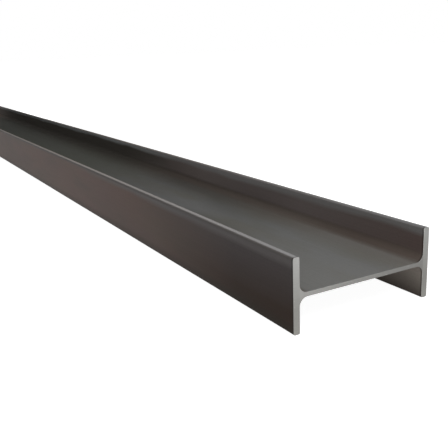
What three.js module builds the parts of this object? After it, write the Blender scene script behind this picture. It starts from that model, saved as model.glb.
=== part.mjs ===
// A hot-rolled steel I-beam with parallel flanges, section IPE V 400 (84 kg/m), in one stock length.
// Millimetres. X runs along the beam, Y across its depth and Z up. The beam lies with its web level,
// on the toes of both flanges, and the origin is on the floor under its middle.
import * as THREE from 'three';

const length = 6000;           // stock length, sawn square at both ends
const depth = 408;             // over the outer faces of the flanges
const flangeWidth = 182;       // toe to toe
const flangeThickness = 17.5;  // even from root to toe
const webThickness = 10.6;
const rootRadius = 21;         // fillet between web and flange
const toeOuterRadius = 5;      // rolled corner between a flange's outer face and its toe
const toeInnerRadius = 4;      // rolled corner between a flange's inner face and its toe
const arcSteps = 16;           // straight steps in each quarter-circle arc

// The square corners of the section's +Y +Z quarter, each with the arc that rounds it.
const webFace = webThickness / 2;
const flangeInnerFace = depth / 2 - flangeThickness;
const toe = flangeWidth / 2;
const quarter = [
  { at: new THREE.Vector2(depth / 2, toe), radius: toeOuterRadius },
  { at: new THREE.Vector2(flangeInnerFace, toe), radius: toeInnerRadius },
  { at: new THREE.Vector2(flangeInnerFace, webFace), radius: rootRadius },
];

// The quarter mirrored into one side of the web and one flange.
function mirrored(corners, sideY, sideZ) {
  const side = new THREE.Vector2(sideY, sideZ);
  return corners.map(({ at, radius }) => ({ at: at.clone().multiply(side), radius }));
}

// All twelve corners, counterclockwise from the +Y +Z toe.
function sectionCorners() {
  const fromWeb = quarter.toReversed();
  return [
    ...mirrored(quarter, 1, 1),
    ...mirrored(fromWeb, -1, 1),
    ...mirrored(quarter, -1, -1),
    ...mirrored(fromWeb, 1, -1),
  ];
}

// A closed outline through square corners, with an arc tangent to both sides of each.
function roundedOutline(corners) {
  const outline = new THREE.Shape();
  corners.forEach(({ at, radius }, i) => {
    const previous = corners.at(i - 1).at;
    const next = corners[(i + 1) % corners.length].at;
    const inward = at.clone().sub(previous).normalize();
    const outward = next.clone().sub(at).normalize();
    const start = at.clone().addScaledVector(inward, -radius);
    const end = at.clone().addScaledVector(outward, radius);
    const centre = start.clone().addScaledVector(outward, radius);
    const startAngle = start.clone().sub(centre).angle();
    const endAngle = end.clone().sub(centre).angle();
    const clockwise = inward.cross(outward) < 0;
    outline.absarc(centre.x, centre.y, radius, startAngle, endAngle, clockwise);
  });
  outline.closePath();
  return outline;
}

const hotRolledSteel = new THREE.MeshStandardMaterial({
  name: 'hot_rolled_steel',
  color: 0x4a4643,
  roughness: 0.55,
  metalness: 0.8,
});

// The section is drawn in X and Y and extruded along Z. One third of a turn about the cube's
// diagonal lays the extrusion along X, with the section's X across the beam and its Y up.
function rolledBeam() {
  const section = roundedOutline(sectionCorners());
  const geometry = new THREE.ExtrudeGeometry(section, {
    depth: length,
    bevelEnabled: false,
    curveSegments: arcSteps / 2, // an arc is drawn with two steps for each of these
  });
  const beam = new THREE.Mesh(geometry, hotRolledSteel);
  beam.name = 'rolled_beam';
  beam.quaternion.setFromAxisAngle(new THREE.Vector3(1, 1, 1).normalize(), 2 * Math.PI / 3);
  beam.position.set(-length / 2, 0, flangeWidth / 2);
  return beam;
}

const group = new THREE.Group();
group.add(rolledBeam());

export default group;
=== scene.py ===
import math
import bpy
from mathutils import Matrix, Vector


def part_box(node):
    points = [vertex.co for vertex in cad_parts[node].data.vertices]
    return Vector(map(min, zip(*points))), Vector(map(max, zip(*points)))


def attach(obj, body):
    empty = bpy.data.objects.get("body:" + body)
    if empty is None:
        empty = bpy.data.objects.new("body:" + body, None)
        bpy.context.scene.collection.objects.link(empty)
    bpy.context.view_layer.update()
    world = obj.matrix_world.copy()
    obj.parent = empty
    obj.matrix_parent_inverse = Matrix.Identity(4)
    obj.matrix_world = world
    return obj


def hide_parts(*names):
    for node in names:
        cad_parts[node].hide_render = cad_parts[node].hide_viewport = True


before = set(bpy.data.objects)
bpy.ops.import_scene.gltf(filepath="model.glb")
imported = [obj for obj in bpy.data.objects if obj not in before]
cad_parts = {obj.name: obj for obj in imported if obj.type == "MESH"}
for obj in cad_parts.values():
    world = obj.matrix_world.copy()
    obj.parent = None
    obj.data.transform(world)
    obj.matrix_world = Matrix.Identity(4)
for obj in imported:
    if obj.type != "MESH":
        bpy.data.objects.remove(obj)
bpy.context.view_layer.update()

from types import SimpleNamespace

import bpy
from mathutils import Matrix, Vector, noise

# ---------------------------------------------------------------------------------------------
# The rolled section. A red-hot bloom passes between rolls until it is an I: two flanges of even
# thickness, a thinner web, wide fillets at the roots and small rolled corners at the four toes.
# Lengths are metres, and MM is one millimetre.
# ---------------------------------------------------------------------------------------------
MM = 0.001
low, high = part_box("rolled_beam")
beam_length = high.x - low.x
section_depth = high.y - low.y
flange_width = high.z - low.z
flange_thickness = 17.5 * MM
web_thickness = 10.6 * MM
root_radius = 21 * MM
toe_outer_radius = 5 * MM
toe_inner_radius = 4 * MM

web_level = flange_width / 2
web_face = web_thickness / 2
flange_inner_face = section_depth / 2 - flange_thickness

root_steps = 12          # straight steps in a root fillet
toe_steps = 6            # straight steps in a toe corner
face_step = 13 * MM      # spacing of the points along the flat faces


def rounded_corner(before, corner, after, radius, steps):
    """Points of the arc that rounds a square corner of the outline, in the outline's own direction."""
    inward = (corner - before).normalized()
    outward = (after - corner).normalized()
    centre = corner - radius * inward + radius * outward
    points = []
    for i in range(steps + 1):
        turn = math.pi / 2 * i / steps
        points.append(centre - radius * math.cos(turn) * outward + radius * math.sin(turn) * inward)
    return points


def flat_run(start, end):
    """Points strictly between two ends of a flat face."""
    count = max(1, round((end - start).length / face_step))
    return [start.lerp(end, i / count) for i in range(1, count)]


def section_outline():
    """The I as a closed counterclockwise loop of (y, z) points, with z counted from the web's middle."""
    toe = flange_width / 2
    quarter = [
        (Vector((section_depth / 2, toe)), toe_outer_radius, toe_steps),
        (Vector((flange_inner_face, toe)), toe_inner_radius, toe_steps),
        (Vector((flange_inner_face, web_face)), root_radius, root_steps),
    ]
    corners = []
    for side_y, side_z in ((1, 1), (-1, 1), (-1, -1), (1, -1)):
        mirrored = [(Vector((side_y * corner.x, side_z * corner.y)), radius, steps)
                    for corner, radius, steps in quarter]
        corners += mirrored if side_y == side_z else mirrored[::-1]
    outline = []
    for i, (corner, radius, steps) in enumerate(corners):
        before = corners[i - 1][0]
        after = corners[(i + 1) % len(corners)][0]
        arc = rounded_corner(before, corner, after, radius, steps)
        if outline:
            outline += flat_run(outline[-1], arc[0])
        outline += arc
    outline += flat_run(outline[-1], outline[0])
    return outline


def outline_normals(outline):
    """The outward normal at each point of the loop."""
    normals = []
    for i in range(len(outline)):
        along = outline[(i + 1) % len(outline)] - outline[i - 1]
        normals.append(Vector((along.y, -along.x)).normalized())
    return normals


# ---------------------------------------------------------------------------------------------
# The beam, one piece of hot-rolled structural steel. The rolls leave its faces very slightly
# wavy and its toes a touch uneven, and a saw cuts it square, with the burr taken off the edges.
# ---------------------------------------------------------------------------------------------
face_wave = 0.25 * MM         # most that a face lies below flat
toe_wave = 0.5 * MM           # most that a toe lies below straight
wave_long = 420 * MM          # length of a wave along the beam
wave_across = 130 * MM        # and across it
wave_fade = 40 * MM           # the waves die out over this length before each cut
edge_break = 0.5 * MM         # filed corner round the sawn ends
ring_step_end = 8 * MM        # spacing of the rings of points at the ends
ring_step_middle = 26 * MM    # and at the middle
crease_angle = 25             # degrees from which a bend shows as a sharp edge
skin_slot = 0                 # material slot of the mill scale
bare_slot = 1                 # and of the bare steel


def ring_places():
    """Places along the beam, from the far end to the near one, closer together at both ends."""
    half = beam_length / 2 - edge_break
    places = [half]
    while places[-1] > 0:
        step = ring_step_middle + (ring_step_end - ring_step_middle) * (places[-1] / half) ** 2
        places.append(places[-1] - step)
    places = places[:-1]
    return [-x for x in places] + places[::-1]


def rolled_point(x, point, normal):
    """A point of the section at x, let in along its normal by the waviness of rolling."""
    place = Vector((x / wave_long, point.x / wave_across, point.y / wave_across))
    wave = 0.5 - 0.5 * noise.noise(place)
    at_toe = min(1, max(0, (abs(point.y) - (flange_width / 2 - flange_thickness)) / flange_thickness))
    depth = (face_wave + (toe_wave - face_wave) * at_toe) * wave
    fade = min(1, (beam_length / 2 - edge_break - abs(x)) / wave_fade)
    let_in = point - normal * depth * fade
    return Vector((x, let_in.x, let_in.y + web_level))


def beam_mesh():
    """The outline swept from end to end, ring by ring, with a flat face on each cut. The first and the
    last ring are drawn in by the filed edge."""
    outline = section_outline()
    normals = outline_normals(outline)
    count = len(outline)
    end = beam_length / 2
    rings = [(-end, edge_break)] + [(x, 0) for x in ring_places()] + [(end, edge_break)]
    verts = []
    for x, inset in rings:
        for point, normal in zip(outline, normals):
            if inset:
                filed = point - normal * inset
                verts.append(Vector((x, filed.x, filed.y + web_level)))
            else:
                verts.append(rolled_point(x, point, normal))
    faces = []
    for ring in range(len(rings) - 1):
        this = ring * count
        following = this + count
        for i in range(count):
            j = (i + 1) % count
            faces.append((this + i, this + j, following + j, following + i))
    last = (len(rings) - 1) * count
    faces.append(tuple(range(count))[::-1])
    faces.append(tuple(range(last, last + count)))
    mesh = bpy.data.meshes.new("rolled_beam_surface")
    mesh.from_pydata(verts, [], faces)
    return mesh


surface = beam_mesh()
beam = bpy.data.objects.new("rolled_beam_surface", surface)
bpy.context.scene.collection.objects.link(beam)

# The two cuts and the filed edges round them are bare steel; all the rest keeps its mill scale. The
# faces run from the far filed edge to the near one, and the two cuts come last.
edge_faces = len(surface.polygons[-1].vertices)
near_edge = len(surface.polygons) - 2 - edge_faces
for polygon in surface.polygons:
    is_bare = polygon.index < edge_faces or polygon.index >= near_edge
    polygon.material_index = bare_slot if is_bare else skin_slot
    polygon.use_smooth = True
surface.set_sharp_from_angle(angle=math.radians(crease_angle))


# ---------------------------------------------------------------------------------------------
# Mill scale: the thin skin of iron oxide that grows on steel as it leaves the last rolls, dark,
# smooth and dull. It is brown outside the flanges and grey in the channels, with long faint patches
# where it grew thicker. Its tone also carries painted light and shade: a painted highlight along the
# toes, and painted shade and reflections toward the ends, in the roots and down the channels.
# ---------------------------------------------------------------------------------------------
def colour(hex_code):
    """An sRGB hex colour as linear RGBA."""
    channels = [int(hex_code[i:i + 2], 16) / 255 for i in (1, 3, 5)]
    linear = [c / 12.92 if c <= 0.04045 else ((c + 0.055) / 1.055) ** 2.4 for c in channels]
    return (*linear, 1)


def add(tree, kind, settings=None, **inputs):
    """Adds a node, sets its properties, gives its inputs, by name or as _number, a value or a link,
    and returns its first output."""
    node = tree.nodes.new(kind)
    for name, value in (settings or {}).items():
        setattr(node, name, value)
    in_use = [socket for socket in node.inputs if socket.enabled]
    for name, value in inputs.items():
        if name[0] == "_":
            socket = in_use[int(name[1:])]
        else:
            socket = next(s for s in in_use if s.name == name.replace("_", " "))
        if isinstance(value, bpy.types.NodeSocket):
            tree.links.new(value, socket)
        else:
            socket.default_value = value
    return next((socket for socket in node.outputs if socket.enabled), None)


def new_material(name):
    """A material with an empty node tree, and that tree."""
    material = bpy.data.materials.new(name)
    material.use_nodes = True
    material.node_tree.nodes.clear()
    return material, material.node_tree


def lay_over(tree, under, tone, where, begins, full, share=1.0):
    """Lays a tone over another, from nothing where a value is at begins to its share at full."""
    amount = add(tree, "ShaderNodeMapRange", Value=where, From_Min=begins, From_Max=full, To_Max=share)
    return add(tree, "ShaderNodeMix", {"data_type": "RGBA"}, Factor=amount, A=under, B=tone)


def where_both(tree, first, first_range, second, second_range):
    """1 where two values have both passed their ranges, and 0 where one is before its own."""
    passed = [add(tree, "ShaderNodeMapRange", Value=value, From_Min=begins, From_Max=full)
              for value, (begins, full) in ((first, first_range), (second, second_range))]
    return add(tree, "ShaderNodeMath", {"operation": "MULTIPLY"}, _0=passed[0], _1=passed[1])


def places_on_beam(tree):
    """Where a point of the skin lies: x, y and z, and how far it is from the middle of the length, of
    the depth and of the web."""
    point = add(tree, "ShaderNodeTexCoord").node.outputs["Object"]
    axes = add(tree, "ShaderNodeSeparateXYZ", Vector=point).node.outputs
    above_web = add(tree, "ShaderNodeMath", {"operation": "SUBTRACT"}, _0=axes["Z"], _1=web_level)
    return SimpleNamespace(
        point=point, x=axes["X"], y=axes["Y"], z=axes["Z"],
        from_middle=add(tree, "ShaderNodeMath", {"operation": "ABSOLUTE"}, _0=axes["X"]),
        from_axis=add(tree, "ShaderNodeMath", {"operation": "ABSOLUTE"}, _0=axes["Y"]),
        from_web=add(tree, "ShaderNodeMath", {"operation": "ABSOLUTE"}, _0=above_web))


def long_pattern(tree, at, long_mm, across_mm, detail, roughness):
    """Noise drawn out along the beam, with features of these sizes."""
    stretched = add(tree, "ShaderNodeMapping", Vector=at.point,
                    Scale=(1000 / long_mm, 1000 / across_mm, 1000 / across_mm))
    return add(tree, "ShaderNodeTexNoise", Vector=stretched, Scale=1.0, Detail=detail,
               Roughness=roughness)


# Ranges along the beam are metres from its middle, and heights are from the floor.
cut_place = beam_length / 2
patch_edge = (0.4, 0.65)      # values of a pattern where a patch begins and is full
upper_toe = flange_width


def outside_tone(tree, at, patches, casts, wandering_z):
    """Outside of the flanges: brown, with painted shade that darkens it toward both ends and down the
    lower half at the cuts, and a painted contact shadow toward the foot. A grey strip under the upper
    toe comes in toward the ends."""
    # Painted shade darkens the outside toward both ends.
    tone = lay_over(tree, colour("#6c5951"), colour("#604f48"), at.from_middle, 1.5, 2.4)
    tone = lay_over(tree, tone, colour("#5c4c4e"), patches, *patch_edge, share=0.3)
    tone = lay_over(tree, tone, colour("#504e45"), casts, *patch_edge, share=0.3)
    # Painted shade near each cut: darkest low down, lifting toward the toe.
    painted_end_shade = lay_over(tree, colour("#30241d"), colour("#494343"), at.z, 50 * MM, 155 * MM)
    tone = lay_over(tree, tone, painted_end_shade, at.from_middle, cut_place - 0.75, cut_place - 0.25)
    # A painted contact shadow darkens the foot.
    tone = lay_over(tree, tone, colour("#2f2d26"), at.z, 30 * MM, 5 * MM, share=0.6)

    strip = where_both(tree, wandering_z, (upper_toe - 26 * MM, upper_toe - 12 * MM),
                       at.from_middle, (1.3, 2.2))
    grey = lay_over(tree, colour("#6a6665"), colour("#605c5b"), at.from_middle, 2.2, 2.9)
    tone = lay_over(tree, tone, grey, strip, 0, 1)
    return lay_over(tree, tone, colour("#5a5654"), at.z, upper_toe - 10 * MM, upper_toe - 4 * MM)


def inside_tone(tree, at, patches):
    """Inside of the flanges toward the ends: grey brown, with a painted reflection that pales a short
    stretch, and painted shade that darkens it at the cuts and on the upper half toward the middle."""
    tone = lay_over(tree, colour("#635b58"), colour("#69625f"), patches, *patch_edge)
    # A painted reflection pales a short stretch.
    painted_reflection_stretch = where_both(tree, at.from_middle, (1.65, 1.95), at.from_middle, (2.15, 1.85))
    tone = lay_over(tree, tone, colour("#746d6a"), painted_reflection_stretch, 0, 1, share=0.45)
    # Painted shade darkens the inner faces toward the cuts.
    tone = lay_over(tree, tone, colour("#5d5654"), at.from_middle, 1.85, 2.25)
    tone = lay_over(tree, tone, colour("#483e3b"), at.from_middle, cut_place - 0.5, cut_place)
    # Painted shade darkens the upper half toward the middle.
    painted_shade_upper_half = where_both(tree, at.from_middle, (1.55, 1.35), at.z, (118 * MM, 145 * MM))
    return lay_over(tree, tone, colour("#43403b"), painted_shade_upper_half, 0, 1, share=0.55)


def painted_root_shade(tree, at, painted_shade_stretch):
    """The root fillets toward the ends: painted shade in the creases makes them darker than the faces
    that they join.
    """
    tone = lay_over(tree, colour("#524b46"), colour("#3e3733"), painted_shade_stretch, 0, 1, share=0.15)
    return lay_over(tree, tone, colour("#49413c"), at.from_middle, 2.5, 2.75)


def web_tone(tree, at, casts, painted_shade_stretch, toward_ends):
    """The web: olive grey, with painted shade that darkens the middle of the beam and leaves it paler
    toward the ends. A brown painted reflection of the flanges lies beside the roots, the stretch of
    painted shade slants in over it, and painted light pales its near side toward the ends."""
    tone = lay_over(tree, colour("#60605f"), colour("#5c5b57"), casts, *patch_edge)
    # A brown painted reflection of the flanges beside the roots.
    painted_flange_reflection = lay_over(tree, colour("#625b54"), colour("#66625d"), at.from_middle, 2.4, 2.7)
    tone = lay_over(tree, tone, painted_flange_reflection, at.from_axis, 80 * MM, 150 * MM, share=0.7)
    # The stretch of painted shade slants in over the web.
    shift = add(tree, "ShaderNodeMapRange", Value=at.from_middle, From_Min=2.0, From_Max=2.4,
                To_Max=100 * MM)
    slanting = add(tree, "ShaderNodeMath", {"operation": "ADD"}, _0=at.from_axis, _1=shift)
    painted_shade_on_web = where_both(tree, painted_shade_stretch, (0, 1), slanting, (50 * MM, 130 * MM))
    tone = lay_over(tree, tone, colour("#474643"), painted_shade_on_web, 0, 1, share=0.6)
    # Painted light pales the web's near side toward the ends.
    painted_light_corner = where_both(tree, at.from_middle, (2.6, 3.0), at.y, (90 * MM, -120 * MM))
    tone = lay_over(tree, tone, colour("#656563"), painted_light_corner, 0, 1)

    # Painted reflection and shade in the middle stretch: darker beside the roots, deepening toward the
    #     far end.
    middle = lay_over(tree, colour("#565751"), colour("#4d4b45"), at.from_axis, 60 * MM, 150 * MM)
    middle = lay_over(tree, middle, colour("#353632"), at.x, 0.4, -0.9, share=0.55)
    return lay_over(tree, middle, tone, toward_ends, 0, 1)


def channel_tone(tree, at, patches, casts, wandering_z):
    """Both channels: the flanges' inner faces, the roots and the web. Painted shade makes them darkest
    in the middle of the beam."""
    toward_near = add(tree, "ShaderNodeMapRange", Value=at.x, From_Min=1.0, From_Max=1.7)
    toward_far = add(tree, "ShaderNodeMapRange", Value=at.x, From_Min=-1.6, From_Max=-2.3)
    toward_ends = add(tree, "ShaderNodeMath", {"operation": "MAXIMUM"}, _0=toward_near, _1=toward_far)
    # A stretch of painted shade over the roots and the web, from 1.4 m to 2.65 m from the middle.
    painted_shade_stretch = where_both(tree, at.from_middle, (1.4, 1.7), at.from_middle, (2.65, 2.1))
    tone = lay_over(tree, inside_tone(tree, at, patches), painted_root_shade(tree, at, painted_shade_stretch), at.from_web,
                    web_face + root_radius * 1.3, web_face + root_radius * 0.8)
    # Painted shade: the channels darken to this tone in the middle of the beam.
    tone = lay_over(tree, colour("#43403b"), tone, toward_ends, 0, 1)

    # The grey strip under the toe is on this face too. In the middle it starts 5 mm higher.
    rise = add(tree, "ShaderNodeMapRange", Value=toward_ends, To_Min=-5 * MM, To_Max=0.0)
    strip_z = add(tree, "ShaderNodeMath", {"operation": "ADD"}, _0=wandering_z, _1=rise)
    grey = lay_over(tree, colour("#838584"), colour("#737170"), toward_ends, 0, 1)
    grey = lay_over(tree, grey, colour("#575554"), at.from_middle, 2.0, 3.0)
    tone = lay_over(tree, tone, grey, strip_z, upper_toe - 26 * MM, upper_toe - 14 * MM)

    # Below the web, painted shade darkens the inner faces toward the floor and painted light brightens them
    # toward the web.
    painted_light_and_shade_below_web = lay_over(tree, colour("#4e4843"), colour("#827b74"), at.z, 5 * MM, 60 * MM)
    tone = lay_over(tree, tone, painted_light_and_shade_below_web, at.z, web_level, web_level - web_thickness)
    web = web_tone(tree, at, casts, painted_shade_stretch, toward_ends)
    return lay_over(tree, tone, web, at.from_axis, flange_inner_face - root_radius * 0.4,
                    flange_inner_face - root_radius * 1.4)


def painted_toe_highlight(tree, at):
    """The upper toes: a pale grey painted highlight, palest toward the middle of the beam, with painted
    shade that makes the far toe darker than the near one.
    """
    tone = lay_over(tree, colour("#a19993"), colour("#7e7d7d"), at.from_middle, 1.0, 3.0)
    # Painted shade makes the far toe darker than the near one.
    shade = add(tree, "ShaderNodeMapRange", Value=at.y, From_Min=-section_depth / 2,
                From_Max=section_depth / 2, To_Min=1.0, To_Max=0.58)
    return add(tree, "ShaderNodeVectorMath", {"operation": "SCALE"}, _0=tone, Scale=shade)


def mill_scale():
    """The skin all over the beam but on its cuts. The low IOR keeps the weak shine of a rough oxide."""
    material, tree = new_material("mill_scale_on_hot_rolled_steel")
    at = places_on_beam(tree)

    # Where the skin grew thicker, its greenish casts, the rolls' streaks and the skin's own grain,
    # which is finer on real steel and is drawn coarse enough to show.
    patches = long_pattern(tree, at, long_mm=620, across_mm=110, detail=3, roughness=0.5)
    casts = long_pattern(tree, at, long_mm=380, across_mm=90, detail=2, roughness=0.5)
    streaks = long_pattern(tree, at, long_mm=260, across_mm=3.2, detail=3, roughness=0.6)
    grain = long_pattern(tree, at, long_mm=7, across_mm=3.5, detail=4, roughness=0.65)

    # The strips under the toes have a lower edge that wanders by up to 12 mm.
    wander = add(tree, "ShaderNodeMath", {"operation": "SUBTRACT"}, _0=casts, _1=0.5)
    wandering_z = add(tree, "ShaderNodeMath", {"operation": "MULTIPLY_ADD"}, _0=wander, _1=24 * MM, _2=at.z)

    outside = outside_tone(tree, at, patches, casts, wandering_z)
    channels = channel_tone(tree, at, patches, casts, wandering_z)
    skin = lay_over(tree, outside, channels, at.from_axis, section_depth / 2, flange_inner_face)
    # The toes take the painted highlight.
    on_toe = where_both(tree, at.from_axis, (section_depth / 2 - 2.5 * MM, section_depth / 2 - 4.5 * MM),
                        at.z, (upper_toe - 4 * MM, upper_toe - 1 * MM))
    skin = lay_over(tree, skin, painted_toe_highlight(tree, at), on_toe, 0, 1)

    # A dark line of painted shade lies on the flanges for a few millimetres beside each cut.
    painted_cut_edge_shade = where_both(tree, at.from_middle, (cut_place - 7 * MM, cut_place - 3 * MM), at.from_axis,
                         (flange_inner_face - root_radius, flange_inner_face - root_radius * 0.5))
    skin = lay_over(tree, skin, colour("#1b1815"), painted_cut_edge_shade, 0, 1, share=0.6)

    # Streaks and grain vary the tone by 4 and 5 % and roughen the surface by less than 0.1 mm. The
    # channels are duller than the outside, which the rolls polish.
    for texture, most in ((streaks, 0.04), (grain, 0.05)):
        shade = add(tree, "ShaderNodeMapRange", Value=texture, From_Min=0.3, From_Max=0.7,
                    To_Min=1 - most, To_Max=1 + most)
        skin = add(tree, "ShaderNodeVectorMath", {"operation": "SCALE"}, _0=skin, Scale=shade)
    dullness = add(tree, "ShaderNodeMapRange", Value=at.from_axis, From_Min=section_depth / 2,
                   From_Max=flange_inner_face, To_Min=0.45, To_Max=0.8)
    relief = add(tree, "ShaderNodeBump", Strength=0.5, Distance=0.15 * MM, Height=grain)
    relief = add(tree, "ShaderNodeBump", Strength=0.4, Distance=0.1 * MM, Height=streaks, Normal=relief)
    shader = add(tree, "ShaderNodeBsdfPrincipled", Base_Color=skin, Roughness=dullness, Normal=relief,
                 IOR=1.12)
    add(tree, "ShaderNodeOutputMaterial", Surface=shader)
    return material


# ---------------------------------------------------------------------------------------------
# Sawn steel: the fresh cut of a band saw, bare grey metal with a fine satin of level strokes where
# the teeth passed. The strokes are drawn 1.2 mm apart, coarser than the real ones, so that they show.
# ---------------------------------------------------------------------------------------------
def sawn_steel():
    """Fully metallic, as clean steel is, and rough enough to blur all that it mirrors."""
    material, tree = new_material("band_sawn_bare_steel")
    place = add(tree, "ShaderNodeTexCoord").node.outputs["Object"]
    axes = add(tree, "ShaderNodeSeparateXYZ", Vector=place).node.outputs
    stroke_length = 90 * MM
    stroke_spacing = 1.2 * MM
    stretched = add(tree, "ShaderNodeMapping", Vector=place,
                    Scale=(1, 1 / stroke_length, 1 / stroke_spacing))
    strokes = add(tree, "ShaderNodeTexNoise", Vector=stretched, Scale=1.0, Detail=2.0, Roughness=0.5)

    # Painted light and shade on the cut: it is brighter toward the top and the foot of the flanges, the
    #     far flange's a little brighter than the near one's, and the web's darker toward its far side.
    cut = lay_over(tree, colour("#72716e"), colour("#838381"), axes["Z"], 60 * MM, 170 * MM)
    cut = lay_over(tree, cut, colour("#777672"), axes["Z"], 38 * MM, 5 * MM)
    # Painted light and shade across the cut, one ramp for the flanges and one for the web.
    in_web = add(tree, "ShaderNodeMath", {"operation": "COMPARE"}, _0=axes["Y"], _1=0.0,
                 _2=flange_inner_face)
    flange_shade = add(tree, "ShaderNodeMapRange", Value=axes["Y"], From_Min=-section_depth / 2,
                       From_Max=section_depth / 2, To_Min=1.0, To_Max=1.08)
    web_shade = add(tree, "ShaderNodeMapRange", Value=axes["Y"], From_Min=-150 * MM,
                    From_Max=100 * MM, To_Min=1.09, To_Max=0.85)
    painted_light_and_shade_across = add(tree, "ShaderNodeMix", {"data_type": "FLOAT"}, Factor=in_web, A=flange_shade, B=web_shade)
    stroke_shade = add(tree, "ShaderNodeMapRange", Value=strokes, From_Min=0.3, From_Max=0.7,
                       To_Min=0.94, To_Max=1.06)
    for shade in (painted_light_and_shade_across, stroke_shade):
        cut = add(tree, "ShaderNodeVectorMath", {"operation": "SCALE"}, _0=cut, Scale=shade)
    relief = add(tree, "ShaderNodeBump", Strength=0.4, Distance=0.06 * MM, Height=strokes)
    shader = add(tree, "ShaderNodeBsdfPrincipled", Base_Color=cut, Metallic=1.0, Roughness=0.55,
                 Normal=relief)
    add(tree, "ShaderNodeOutputMaterial", Surface=shader)
    return material


# The beam takes both finishes, skin_slot first, and stands in for the solid rolled_beam.
surface.materials.append(mill_scale())
surface.materials.append(sawn_steel())
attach(beam, "root")
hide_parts("rolled_beam")

# ---------------------------------------------------------------------------------------------
# The camera stands low beside the near end and looks back along the beam.
# ---------------------------------------------------------------------------------------------
camera_azimuth = math.radians(60.86)     # 0 looks along +Y, 90 along -X
camera_elevation = math.radians(15.37)
camera_roll = math.radians(-2.33)
camera_distance = 2.0186                 # to the point of the web that it looks at
looked_at = Vector((beam_length / 2 - 621.7 * MM, -23 * MM, web_level))
focal_px = 646.3                         # for an image 448 pixels wide
image_px = 448

back = Vector((math.sin(camera_azimuth) * math.cos(camera_elevation),
               -math.cos(camera_azimuth) * math.cos(camera_elevation),
               math.sin(camera_elevation)))
camera_data = bpy.data.cameras.new("camera")
camera_data.sensor_width = 36
camera_data.lens = camera_data.sensor_width * focal_px / image_px
camera = bpy.data.objects.new("camera", camera_data)
bpy.context.scene.collection.objects.link(camera)
turn = (-back).to_track_quat("-Z", "Y").to_matrix() @ Matrix.Rotation(camera_roll, 3, "Z")
camera.matrix_world = Matrix.Translation(looked_at + camera_distance * back) @ turn.to_4x4()
bpy.context.scene.camera = camera

# ---------------------------------------------------------------------------------------------
# The studio: a pale floor that runs out of sight, a white surround and rectangular softboxes. Both
# show white to the camera and in reflections, and the floor keeps the beam's soft shadow.
# ---------------------------------------------------------------------------------------------
floor_reach = 60.0       # half its width
floor_mesh = bpy.data.meshes.new("floor")
floor_mesh.from_pydata([(-floor_reach, -floor_reach, 0), (floor_reach, -floor_reach, 0),
                        (floor_reach, floor_reach, 0), (-floor_reach, floor_reach, 0)], [], [(0, 1, 2, 3)])
floor = bpy.data.objects.new("floor", floor_mesh)
bpy.context.scene.collection.objects.link(floor)


def seen_or_reflected(tree):
    """1 for rays from the camera, off metal or through glass, and 0 for light that falls on things."""
    path = add(tree, "ShaderNodeLightPath").node.outputs
    either = add(tree, "ShaderNodeMath", {"operation": "MAXIMUM"}, _0=path["Is Camera Ray"],
                 _1=path["Is Glossy Ray"])
    return add(tree, "ShaderNodeMath", {"operation": "MAXIMUM"}, _0=either, _1=path["Is Transmission Ray"])


def studio_floor():
    """Pale matt paint, with a glow that only the camera and reflections see."""
    material, tree = new_material("pale_studio_floor")
    paint = add(tree, "ShaderNodeBsdfDiffuse", Color=colour("#b4b4b4"))
    glow = add(tree, "ShaderNodeEmission", Color=colour("#ffffff"), Strength=0.94)
    white = add(tree, "ShaderNodeAddShader", _0=paint, _1=glow)
    shown = add(tree, "ShaderNodeMixShader", _0=seen_or_reflected(tree), _1=paint, _2=white)
    add(tree, "ShaderNodeOutputMaterial", Surface=shown)
    return material


floor_mesh.materials.append(studio_floor())

world = bpy.data.worlds.new("studio_surround")
bpy.context.scene.world = world
world.use_nodes = True
world_tree = world.node_tree
world_tree.nodes.clear()
fill = add(world_tree, "ShaderNodeBackground", Color=colour("#ffffff"), Strength=0.18)
white_surround = add(world_tree, "ShaderNodeBackground", Color=colour("#ffffff"), Strength=1.0)
surround = add(world_tree, "ShaderNodeMixShader", _0=seen_or_reflected(world_tree), _1=fill,
               _2=white_surround)
add(world_tree, "ShaderNodeOutputWorld", Surface=surround)


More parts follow.
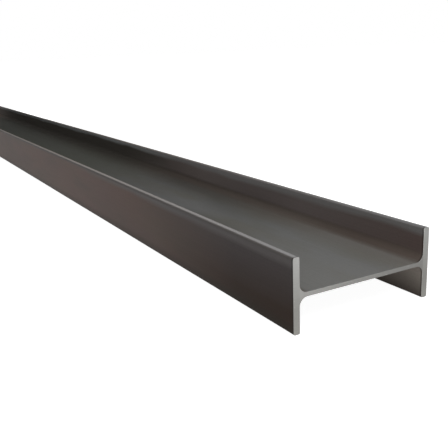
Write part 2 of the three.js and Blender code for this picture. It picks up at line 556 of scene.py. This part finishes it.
def softbox(name, base, away, aim, width, depth, watts, grid=180):
    """A rectangular lamp set away from a base point and facing another near it, out of the camera's
    sight. A grid, in degrees, narrows its beam."""
    lamp = bpy.data.lights.new(name, "AREA")
    lamp.shape = "RECTANGLE"
    lamp.size = width
    lamp.size_y = depth
    lamp.energy = watts
    lamp.spread = math.radians(grid)
    box = bpy.data.objects.new(name, lamp)
    box.location = base + Vector(away)
    facing = Vector(aim) - Vector(away)
    box.rotation_euler = facing.to_track_quat("-Z", "Y").to_euler()
    box.visible_camera = False
    bpy.context.scene.collection.objects.link(box)


near_end = Vector((beam_length / 2, 0, web_level))
far_end = Vector((-beam_length / 2, 0, web_level))
middle = Vector((0, 0, web_level))

# Over the near end: a long strip above the web, a low box in front of the cut and a wide box on
# each side.
softbox("strip_softbox", near_end, away=(0.2, -0.02, 1.2), aim=(-0.4, -0.02, 0), width=0.34, depth=1.6,
        watts=13)
softbox("end_softbox", near_end, away=(1.4, -0.4, 0), aim=(0, -0.03, 0), width=0.32, depth=0.16, watts=20)
softbox("back_softbox", near_end, away=(-0.3, 1.6, 1.2), aim=(-0.4, 0, 0), width=1.8, depth=1.2, watts=14)
softbox("side_softbox", near_end, away=(-1.4, -1.8, 1.2), aim=(-1.4, 0, 0), width=2.4, depth=1.2, watts=9)

# Over the far end, the same three sides from above, held to that end by grids.
softbox("far_softbox", far_end, away=(-0.35, -0.1, 1.5), aim=(-0.05, 0, 0), width=1.4, depth=1.2, watts=4,
        grid=60)
softbox("far_back_softbox", far_end, away=(0, 1.6, 1.2), aim=(0, 0, 0), width=1.4, depth=1.2, watts=5,
        grid=60)
softbox("far_side_softbox", far_end, away=(0, -1.8, 1.2), aim=(0, 0, 0), width=1.4, depth=1.2, watts=4,
        grid=60)

# Two low strips, level with the web, light only the outsides of the flanges between the ends.
softbox("low_side_softbox", middle, away=(-1.4, -2.2, 0.03), aim=(-1.4, 0, 0), width=1.6, depth=0.16,
        watts=1.2, grid=40)
softbox("low_back_softbox", middle, away=(-0.2, 2.2, 0.03), aim=(-0.2, 0, 0), width=4, depth=0.16,
        watts=4, grid=60)

bpy.context.scene.view_settings.view_transform = "Standard"
